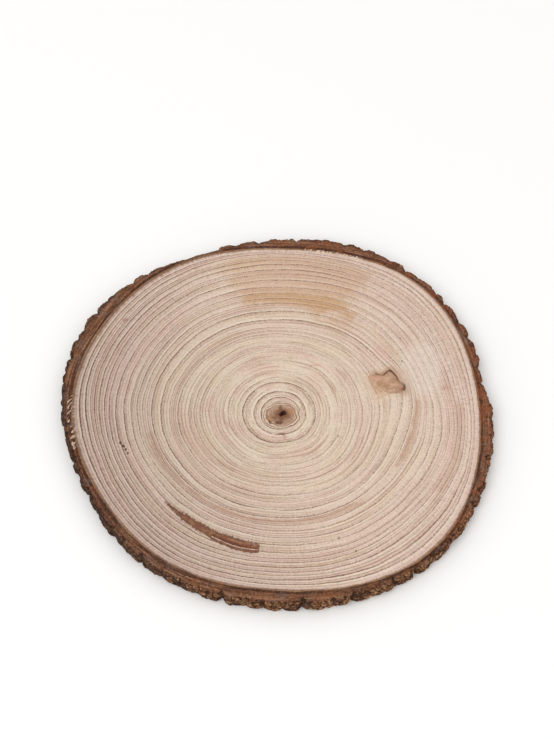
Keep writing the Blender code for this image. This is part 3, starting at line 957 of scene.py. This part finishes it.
@dataclass(frozen=True)
class WoodSlice:
    """The disc of wood: rings that bend round a knot, the pith's pit, and a pocket of ingrown bark.

    Levels are mean radii, and depths below the top at the edge. Crowding is how much closer the columns
    stand at the knot, and over how many degrees. The pit is where its wall starts and ends, and its depth.
    Sanding and fray are how far a surface or an edge strays, and how coarse its noise is. The rim is the
    dark border's least width, what it widens by, and the bearing where it is widest.
    """

    trunk: Trunk
    columns: int = 480
    crowding: Span = (2.2, 9.0)
    crowding_steps: int = 7201
    pith_levels: tuple[float, ...] = (0.5, 1.0, 1.5, 2.2, 3.0, 4.2, 5.6, 7.2, 8.6)
    close_levels: tuple[tuple[float, float, float], ...] = ((66.0, 92.0, 0.8), (106.5, 119.5, 0.5))
    closest: float = 0.45
    last_level: float = 1.2
    line_before: float = 0.6
    line_after: float = 0.45
    line_fade: float = 3.0
    ring_sink: float = 0.09
    edge_rounding: tuple[Place, ...] = ((-0.35, 0.02), (-0.05, 0.12), (0.1, 0.35))
    edge_levels: Span = (4.0, 8.0)
    foot_rounding: float = 0.3
    under_levels: Span = (6.0, 2.0)
    wave: float = 0.45
    wave_grain: float = 17.0
    wave_start: Span = (3.0, 20.0)
    wave_end: Span = (0.5, 8.0)
    sanding: Span = (0.05, 24.0)
    pith_pit: tuple[float, float, float] = (0.4, 1.5, 2.6)
    pith_grain: float = 1.5
    knot_outline: tuple[Place, ...] = (
        (-14.0, 6.0), (-7.5, 6.9), (1.0, 11.3), (4.6, 7.4), (8.0, 1.6), (12.0, -2.6), (10.4, -5.8),
        (6.8, -8.2), (1.3, -7.4), (-4.5, -12.0), (-6.6, -12.9), (-9.3, -6.0), (-12.0, -0.2),
    )  # fmt: skip
    knot_groove: Span = (0.2, 0.7)
    knot_fray: float = 1.5
    knot_limit: float = -8.0
    crack: tuple[Place, ...] = (
        (-9.0, 8.2), (-3.7, 6.1), (-1.0, 8.9), (1.1, 11.2), (3.4, 9.5), (5.7, 6.4), (7.1, 3.5),
        (8.2, 1.0), (10.2, -0.2), (11.5, -1.4), (11.5, -4.2), (10.4, -5.3),
    )  # fmt: skip
    crack_widths: tuple[Place, ...] = ((-8.0, 0.45), (0.0, 0.5), (3.0, 0.7), (8.0, 0.65), (10.0, 0.95))
    crack_depth: float = 0.35
    crack_wall: Span = (-1.0, -0.1)
    crack_fray: float = 0.5
    pocket: Pocket = Pocket()
    pocket_depth: float = 0.5
    pocket_wall: Span = (0.0, 0.8)
    pocket_limit: float = -4.0
    seam_fray: float = 0.3
    seam_limit: float = 4.0
    ragged_grain: float = 9.0
    fray: Span = (0.4, 3.0)
    rim: tuple[float, float, float] = (0.9, 2.4, 145.0)
    torn: tuple[Stretch, ...] = (
        Stretch(173, 194, 141.5, 146.0, 1.2, 4.0, 1.0),
        Stretch(64, 86, 142.4, 146.0, 1.5, 4.0, 1.0),
    )
    brown: tuple[Stretch, ...] = (
        Stretch(180, 315, 88.0, 95.5, 0.8, 12.0, 3.5),
        Stretch(325, 375, 88.5, 95.0, 1.0, 12.0, 3.0),
        Stretch(10, 180, 89.0, 94.0, 0.25),
        Stretch(318, 372, 120.0, 132.5, 0.6, 12.0, 4.0),
        Stretch(240, 300, 123.0, 132.0, 0.4, 20.0, 3.0),
        Stretch(140, 200, 125.0, 135.0, 0.4, 20.0, 3.0),
    )
    ochre: tuple[Stretch, ...] = (
        Stretch(58, 113, 92.0, 138.0, 0.5, 8.0, 5.0),
        Stretch(58, 112, 88.0, 108.0, 0.34, 14.0, 7.0),
        Stretch(50, 90, 83.0, 106.0, 0.36, 18.0, 8.0),
        Stretch(47, 80, 76.0, 95.0, 0.36, 14.0, 8.0),
        Stretch(150, 290, 45.0, 86.0, 0.22, 40.0, 12.0),
    )
    map_margin: float = 7.0
    map_slope: float = 0.25
    map_bend: Span = (100.0, 130.0)
    map_middle: float = 0.365
    map_radius: float = 0.355
    under_middle: float = 0.775
    under_radius: float = 0.215

    def bearings(self) -> Array:
        """Places the columns, which stand closer near the knot.

        Returns:
            Their bearings.
        """
        fine = np.linspace(0, 360, self.crowding_steps)
        extra, spread = self.crowding
        off = (fine - self.trunk.knot_bearing + 180) % 360 - 180
        packed = np.cumsum(1 + extra * np.exp(-((off / spread) ** 2)))
        share = (packed - packed[0]) / (packed[-1] - packed[0])
        return np.interp(np.arange(self.columns) / self.columns, share, fine)

    def top_levels(self) -> Array:
        """Places the rows on the top, closer together round each line, at the knot and the pocket.

        Returns:
            Their mean radii, from the pith outwards.
        """
        lines = self.trunk.lines()
        levels = [*self.pith_levels, *lines, *(lines - self.line_before), *(lines + self.line_after)]
        levels.append(self.trunk.wood_radius - self.last_level)
        for start, end, gap in self.close_levels:
            for level in np.arange(start, end, gap):
                if np.min(np.abs(np.array(levels) - level)) > gap * self.closest:
                    levels.append(level)
        return np.array(sorted(levels))

    def build(self) -> bpy.types.Object:
        """Makes the wood.

        Returns:
            The piece, without its finish.
        """
        trunk = self.trunk
        top = self.top_levels()
        edge = trunk.wood_radius
        out, down = zip(*self.edge_rounding)
        foot = trunk.thickness - self.foot_rounding
        under = sorted([edge - self.foot_rounding, *trunk.lines(), *self.under_levels], reverse=True)
        grown = [*top, *(edge + g for g in out), *[edge + out[-1]] * 3, *under]
        sunk = [*[0.0] * len(top), *down, *self.edge_levels, foot, *[trunk.thickness] * len(under)]
        upper = [1.0] * (len(grown) - len(under)) + [0.0] * len(under)
        shape = (len(grown), self.columns)
        rows = np.array([grown, sunk, upper], float)
        grown, sunk, upper = (np.broadcast_to(row[:, None], shape) for row in rows)
        bearing = np.broadcast_to(self.bearings(), shape)
        points = at(trunk.ring_radius(grown, bearing), bearing, trunk.thickness - sunk)
        inland = step(grown, *self.wave_start) * step(edge - grown, *self.wave_end)
        waves = self.wave * inland * cloud(points * (1, 1, 0), self.wave_grain, 2)
        waved = at(1.0, bearing) * waves[..., None]
        points = trunk.round_knot(points + waved)
        traits = self.traits(grown, bearing, points)
        traits["upper"] = upper
        lowered = self.lowered(grown, points, traits) * (sunk == 0)
        points = points - lowered[..., None] * (0.0, 0.0, 1.0)
        return Skin("wood_slice", points, traits, self.charts(points, len(under)), False).build()

    def traits(self, grown: Array, bearing: Array, points: Array) -> dict[str, Array]:
        """What the finish and the relief need to know at each point.

        Args:
            grown: Mean radius of each point's row.
            bearing: Bearings of the points.
            points: The points.

        Returns:
            The traits by name.
        """
        trunk = self.trunk
        lines = trunk.lines()
        flat = points * (1, 1, 0)
        away = trunk.from_knot(points)
        between = np.array([*trunk.ring_widths, trunk.ring_widths[-1]])
        widths = (between[:-1] + between[1:]) / 2
        ragged = cloud(flat, self.ragged_grain, 3)
        most, grain = self.fray
        frayed = most * cloud(flat, grain, 3)
        thin, wider, widest = self.rim
        rim_width = thin + wider * np.maximum(0, np.cos(np.radians(bearing - widest)))
        crack = self.from_path(away, eased(self.crack, False))
        crack_width = np.interp(away[..., 0], *np.array(self.crack_widths).T)
        seam = self.pocket.from_seam(bearing, grown)
        brown = sum(stretch.cover(bearing, grown, ragged) for stretch in self.brown)
        ochre = sum(stretch.cover(bearing, grown, ragged) for stretch in self.ochre)
        return {
            "grown": grown,
            "age": trunk.age(grown),
            "width": np.interp(grown, lines, widths),
            "strength": np.interp(grown, lines, trunk.line_strengths),
            "knot": np.maximum(self.knot_limit, self.inside_knot(away) + self.knot_fray * frayed),
            "crack": (crack + self.crack_fray * frayed) / crack_width,
            "pocket": np.maximum(self.pocket_limit, self.pocket.inside(bearing, grown) + frayed),
            "seam": np.minimum(self.seam_limit, seam + self.seam_fray * frayed),
            "brown": np.clip(brown, 0, 1),
            "ochre": np.clip(ochre, 0, 1),
            "rim": step(grown + 0.5 * ragged, trunk.wood_radius - rim_width, trunk.wood_radius + 0.5),
            "torn": sum(stretch.cover(bearing, grown, ragged) for stretch in self.torn),
        }

    def from_path(self, away: Array, path: Sequence[Place]) -> Array:
        """Measures how far places are from a path.

        Args:
            away: The places, as seen from the knot's middle.
            path: The path, as seen from there too.

        Returns:
            Millimetres, for each place.
        """
        nearest = np.full(away.shape[:-1], FAR)
        for start, end in zip(path, path[1:]):
            leg = np.array([end[0] - start[0], end[1] - start[1], 0.0])
            from_start = away - np.array([*start, 0.0])
            share = np.clip((from_start @ leg) / (leg @ leg), 0, 1)
            nearest = np.minimum(nearest, np.linalg.norm(from_start - share[..., None] * leg, axis=-1))
        return nearest

    def inside_knot(self, away: Array) -> Array:
        """Measures how deep places lie in the knot.

        Args:
            away: The places, as seen from the knot's middle.

        Returns:
            Millimetres inside the knot's outline, less than 0 outside.
        """
        outline = eased(self.knot_outline, True)
        outline.append(outline[0])
        edge = self.from_path(away, outline)
        inside = np.zeros(away.shape[:-1], bool)
        for (x0, y0), (x1, y1) in zip(outline, outline[1:]):
            spans = (y0 > away[..., 1]) != (y1 > away[..., 1])
            inside ^= spans & (away[..., 0] < (x1 - x0) * (away[..., 1] - y0) / (y1 - y0) + x0)
        return np.where(inside, edge, -edge)

    def lowered(self, grown: Array, points: Array, traits: dict[str, Array]) -> Array:
        """How far each point of the top lies below the saw's plane.

        Args:
            grown: Mean radius of each point's row.
            points: The points.
            traits: Their traits.

        Returns:
            Millimetres, never below zero.
        """
        flat = points * (1, 1, 0)
        lines = np.array([0.0, *self.trunk.lines()])
        row = grown[:, :1]
        past = row - lines[np.searchsorted(lines, row[:, 0] - TINY) - 1][:, None]
        on_line = np.min(np.abs(row - lines), axis=1, keepdims=True) < TINY
        soft = np.minimum(past / self.line_after, 1) * np.exp(-past / self.line_fade) * ~on_line
        sanded, sanded_grain = self.sanding
        low = self.ring_sink * soft * traits["strength"] + sanded * (1 + cloud(flat, sanded_grain, 2))
        *wall, deep = self.pith_pit
        low = low + deep * (1 - step(grown + 0.5 * cloud(flat, self.pith_grain, 2), *wall))
        groove, half = self.knot_groove
        low = low + groove * np.exp(-((traits["knot"] / half) ** 2))
        low = low + self.crack_depth * step(-traits["crack"], *self.crack_wall)
        return np.maximum(0, low + self.pocket_depth * step(traits["pocket"], *self.pocket_wall))

    def charts(self, points: Array, under_rows: int) -> Array:
        """Bake map: the top and the edge on one disc, the underside on a smaller one.

        Args:
            points: The points.
            under_rows: How many of the last rows are on the underside.

        Returns:
            The bake map of each band's corners.
        """
        reach = self.trunk.wood_radius + self.map_margin
        flat = points[..., :2]
        away = np.linalg.norm(flat, axis=-1, keepdims=True)
        drop = (self.trunk.thickness - points[..., 2:]) * step(away, *self.map_bend)
        spread = 1 + self.map_slope * drop / np.maximum(away, 1)
        top = self.map_middle + flat * spread * self.map_radius / reach
        under = self.under_middle + flat * (-1, 1) * self.under_radius / reach
        charts = []
        for i in range(len(points) - 1):
            sheet = top if i < len(points) - under_rows else under
            near, far = sheet[i], sheet[i + 1]
            charts.append([near, far, np.roll(far, -1, axis=0), np.roll(near, -1, axis=0)])
        return np.array(charts)


@dataclass(frozen=True)
class BarkRing:
    """The ring of bark: a cut face above, a cut face below, and the rough outside between them.

    Spans on the cut are shares of the way from the wood to the outside. Unevenness and crumb share are a
    mean, how far it swings, and how coarse its noise is; relief is a mean, a swing and the most. A grain or
    fray is how far the surface strays, and how coarse its noise is. The layers' grain is the radius of the
    circle that their noise is read on, and its waves to a millimetre inwards.
    """

    trunk: Trunk
    columns: int = 1920
    cut_steps: int = 13
    side_steps: int = 14
    under_steps: int = 5
    scale_size: tuple[float, float, float] = (5.5, 5.5, 4.0)
    scale_height: float = 0.75
    scale_level: float = 0.55
    scale_gap: float = 0.5
    torn: tuple[Stretch, ...] = (
        Stretch(171, 195, -0.5, 5.0, 1.2, 4.0, 1.5),
        Stretch(64, 86, -1.0, 1.8, 1.45, 4.0, 1.0),
    )
    crumbled: tuple[Place, ...] = ((0.0, 1.1), (0.26, 0.3), (0.56, 0.0), (0.86, 0.2), (1.0, 1.3))
    inner_levels: tuple[float, ...] = (0.3, 4.0, 8.0)
    inner_rounding: Span = (0.3, 0.35)
    edge_drop: float = 1.3
    edge_unevenness: tuple[float, float, float] = (0.45, 0.9, 9.0)
    edge_limits: Span = (0.1, 1.2)
    edge_start: Span = (0.72, 1.06)
    side_end: float = 0.02
    under_span: Span = (0.97, 0.03)
    cut_start: float = 0.05
    cut_reach: float = 3.0
    torn_grain: float = 4.0
    layer_grain: Span = (14.0, 0.9)
    layer_relief: tuple[float, float, float] = (0.12, 0.22, 0.6)
    crack_width: Span = (0.02, 0.22)
    crumb_depth: float = 0.9
    crumb_span: Span = (0.35, 0.85)
    crumb_share: tuple[float, float, float] = (0.3, 1.1, 3.2)
    # How strongly painted shade darkens the crumbled hollows of the cut and the furrows.
    crumb_shade: float = 0.6
    furrow_shade: float = 0.25
    furrow_span: Span = (0.8, 1.0)
    side_fade: Span = (0.2, 1.0)
    side_grain: Span = (0.25, 2.2)
    bare_grain: Span = (0.35, 4.0)
    bare_fray: Span = (2.6, 5.0)
    box_margin: float = 0.02
    strips: int = 4
    strip_margin: Span = (0.01, 0.03)

    def build(self) -> bpy.types.Object:
        """Makes the bark.

        Returns:
            The piece, without its finish.
        """
        trunk = self.trunk
        bearing = 360 * np.arange(self.columns) / self.columns
        inner = trunk.ring_radius(np.array(trunk.wood_radius), bearing)
        rim = at(trunk.bark_radius, bearing)
        mean, swing, grain = self.edge_unevenness
        drop = self.edge_drop * np.clip(mean + swing * cloud(rim, grain, 3), *self.edge_limits)
        edge_z = trunk.thickness - drop
        sections = []
        inset, lowered = self.inner_rounding
        for z in (*self.inner_levels, trunk.thickness - lowered):
            sections.append((inner, np.full(bearing.shape, z), 0.0, 0.0))
        edge, _, _ = self.outside(bearing, edge_z, inner)
        for t in np.linspace(0, 1, self.cut_steps + 1)[:-1]:
            radius = inner + inset + (edge - inner - inset) * t
            z = trunk.thickness - drop * step(np.array(t), *self.edge_start)
            sections.append((radius, z, t, 0.0))
        for t in np.linspace(1, self.side_end, self.side_steps):
            z = edge_z * t
            radius, _, _ = self.outside(bearing, z, inner)
            sections.append((radius, z, 1.0, 1.0))
        foot, _, _ = self.outside(bearing, np.zeros(bearing.shape), inner)
        for t in np.linspace(*self.under_span, self.under_steps):
            sections.append((inner + (foot - inner) * t, np.zeros(bearing.shape), t, 0.0))
        shape = (len(sections), self.columns)
        radius, z, share, side = (
            np.stack([np.broadcast_to(section[i], bearing.shape) for section in sections]) for i in range(4)
        )
        bearing = np.broadcast_to(bearing, shape)
        points = at(radius, bearing, z)
        _, sunk, crevice_shade = self.outside(bearing, z, inner)
        deep = radius - inner
        ragged = cloud(points, self.torn_grain, 2)
        round_trunk, inwards = self.layer_grain
        layered = cloud(at(round_trunk, bearing, deep * inwards), 1.0, 3)
        flat = (side == 0) & (z > trunk.thickness - self.cut_reach) & (deep > self.cut_start)
        mean, swing, grain = self.crumb_share
        crumbs = np.clip(mean + swing * cloud(points * (1, 1, 0), grain, 3), 0, 1)
        crumbs = step(share, *self.crumb_span) * crumbs
        mean, swing, most = self.layer_relief
        points[..., 2] -= flat * (np.clip(mean + swing * layered, 0, most) + self.crumb_depth * crumbs)
        low, high = (np.array(corner) / MM for corner in SOLID_BOX)
        points = np.clip(points, low + self.box_margin, high - self.box_margin)
        points[..., 2] = np.clip(points[..., 2], 0.0, trunk.thickness)
        # Painted shade for the hollows: the cracks between scales, the furrows and the crumbled spots of
        # the cut.
        dark = crevice_shade * side + self.furrow_shade * sunk * step(share, *self.furrow_span)
        dark = dark + self.crumb_shade * flat * crumbs
        traits = {
            "deep": deep,
            "share": share,
            "side": side * step(trunk.thickness - z, *self.side_fade),
            "crevice_shade": np.clip(dark, 0, 1),
            "scale": scales(points, self.scale_size)[0],
            "bare": self.gone(bearing, z),
            "torn": sum(stretch.cover(bearing, deep, ragged) for stretch in self.torn) * (1 - side),
        }
        return Skin("bark_ring", points, traits, self.charts(points), True).build()

    def outside(self, bearing: Array, z: Array, inner: Array) -> tuple[Array, Array, Array]:
        """The bark's rough outside.

        Args:
            bearing: Bearings.
            z: Heights.
            inner: Radius of the wood there.

        Returns:
            The radius, how deep in a furrow it is, and how far in a crack between scales.
        """
        trunk = self.trunk
        radius, sunk = trunk.bark_edge(bearing, z)
        radius = radius - np.interp(z / trunk.thickness, *np.array(self.crumbled).T)
        places = at(trunk.bark_radius, bearing, z)
        own, border = scales(places, self.scale_size)
        gap = 1 - step(border, *self.crack_width)
        rough, grain = self.side_grain
        scaly = self.scale_height * (own - self.scale_level) - self.scale_gap * gap
        radius += scaly + rough * cloud(places, grain, 3)
        gone = self.gone(bearing, z)
        rough, grain = self.bare_grain
        thin = inner + trunk.bare_thickness + rough * cloud(places, grain, 3)
        return radius + gone * (thin - radius), sunk, gap * (1 - gone)

    def gone(self, bearing: Array, z: Array) -> Array:
        """How far the outer bark is gone, with frayed ends.

        Args:
            bearing: Bearings.
            z: Heights.

        Returns:
            A number from 0 to 1 for each place.
        """
        most, grain = self.bare_fray
        fray = most * cloud(at(self.trunk.bark_radius, bearing, z), grain, 3)
        return self.trunk.bareness(bearing + fray)

    def charts(self, points: Array) -> Array:
        """Bake map: the ring unrolled into strips, one above another.

        Args:
            points: The points.

        Returns:
            The bake map of each band's corners.
        """
        rows = len(points)
        lengths = np.linalg.norm(np.roll(points, -1, axis=0) - points, axis=-1).mean(axis=1)
        climb = np.array([0, *np.cumsum(lengths)]) / lengths.sum()
        column = np.arange(self.columns)
        long = self.columns // self.strips
        strip = column // long
        beside, between = self.strip_margin
        tall = 1 - 2 * between
        left = beside + (1 - 2 * beside) * (column % long) / long
        right = left + (1 - 2 * beside) / long
        charts = []
        for i in range(rows):
            near, far = ((strip + between + tall * climb[k]) / self.strips for k in (i, i + 1))
            corners = ((left, near), (left, far), (right, far), (right, near))
            charts.append([np.stack(corner, axis=1) for corner in corners])
        return np.array(charts)


@dataclass(frozen=True)
class Studio:
    """A plain pale floor, soft light from above, and a camera where the photograph's stood."""

    camera_place: tuple[float, float, float] = (-0.0039, -0.9811, 1.5215)
    camera_tilt: float = 34.0
    focal_pixels: float = 2571.43
    floor_size: float = 14.0
    floor_drop: float = 0.0002
    floor_roughness: float = 0.9
    floor_colour: str = "#f7f6f4"
    sky: float = 0.86
    lamp_power: float = 28.0
    lamp_size: float = 2.4
    lamp_place: tuple[float, float, float] = (-0.9, -1.3, 2.4)

    def build(self) -> None:
        """Makes the floor, the light and the camera."""
        scene = bpy.context.scene
        scene.view_settings.view_transform = "Standard"
        camera = bpy.data.cameras.new("camera")
        camera.sensor_width = SENSOR
        camera.lens = self.focal_pixels * SENSOR / PHOTO_HEIGHT
        eye = bpy.data.objects.new("camera", camera)
        eye.location = self.camera_place
        eye.rotation_euler = (math.radians(self.camera_tilt), 0, 0)
        scene.collection.objects.link(eye)
        scene.camera = eye
        self.floor()
        self.light()

    def floor(self) -> None:
        """Lays the floor just under the slice."""
        half = self.floor_size / 2
        mesh = bpy.data.meshes.new("floor")
        corners = [(-half, -half), (half, -half), (half, half), (-half, half)]
        mesh.from_pydata([(x, y, -self.floor_drop) for x, y in corners], [], [(0, 1, 2, 3)])
        # Matt coated paper: nearly white, with a soft shadow and no reflection.
        material = bpy.data.materials.new("matt_white_paper")
        material.use_nodes = True
        shader = material.node_tree.nodes["Principled BSDF"]
        shader.inputs["Base Color"].default_value = linear(self.floor_colour)
        shader.inputs["Roughness"].default_value = self.floor_roughness
        mesh.materials.append(material)
        floor = bpy.data.objects.new("floor", mesh)
        bpy.context.scene.collection.objects.link(floor)

    def light(self) -> None:
        """Hangs one large soft lamp in an even white surrounding."""
        world = bpy.data.worlds.new("studio")
        world.use_nodes = True
        world.node_tree.nodes["Background"].inputs["Color"].default_value = (1, 1, 1, 1)
        world.node_tree.nodes["Background"].inputs["Strength"].default_value = self.sky
        bpy.context.scene.world = world
        lamp = bpy.data.lights.new("lamp", "AREA")
        lamp.shape = "DISK"
        lamp.size = self.lamp_size
        lamp.energy = self.lamp_power
        holder = bpy.data.objects.new("lamp", lamp)
        holder.location = self.lamp_place
        holder.rotation_euler = (-Vector(self.lamp_place)).to_track_quat("-Z", "Y").to_euler()
        bpy.context.scene.collection.objects.link(holder)


def dress(piece: bpy.types.Object, finish: Finish, node: str) -> None:
    """Gives a piece its finish and puts it in a solid's place.

    Args:
        piece: The piece.
        finish: Its finish.
        node: The solid that it stands for.
    """
    piece.data.materials.append(finish.material())
    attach(piece, "root")
    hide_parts(node)
    log.info("%s: %d points, %d faces", piece.name, len(piece.data.vertices), len(piece.data.polygons))


def main() -> None:
    """Builds the studio and the slice."""
    logging.basicConfig(level=logging.INFO, format="%(name)s: %(message)s")
    Studio().build()
    trunk = Trunk()
    dress(WoodSlice(trunk).build(), SawnConifer(), "wood")
    dress(BarkRing(trunk).build(), ConiferBark(), "bark")


if __name__ == "__main__":
    main()
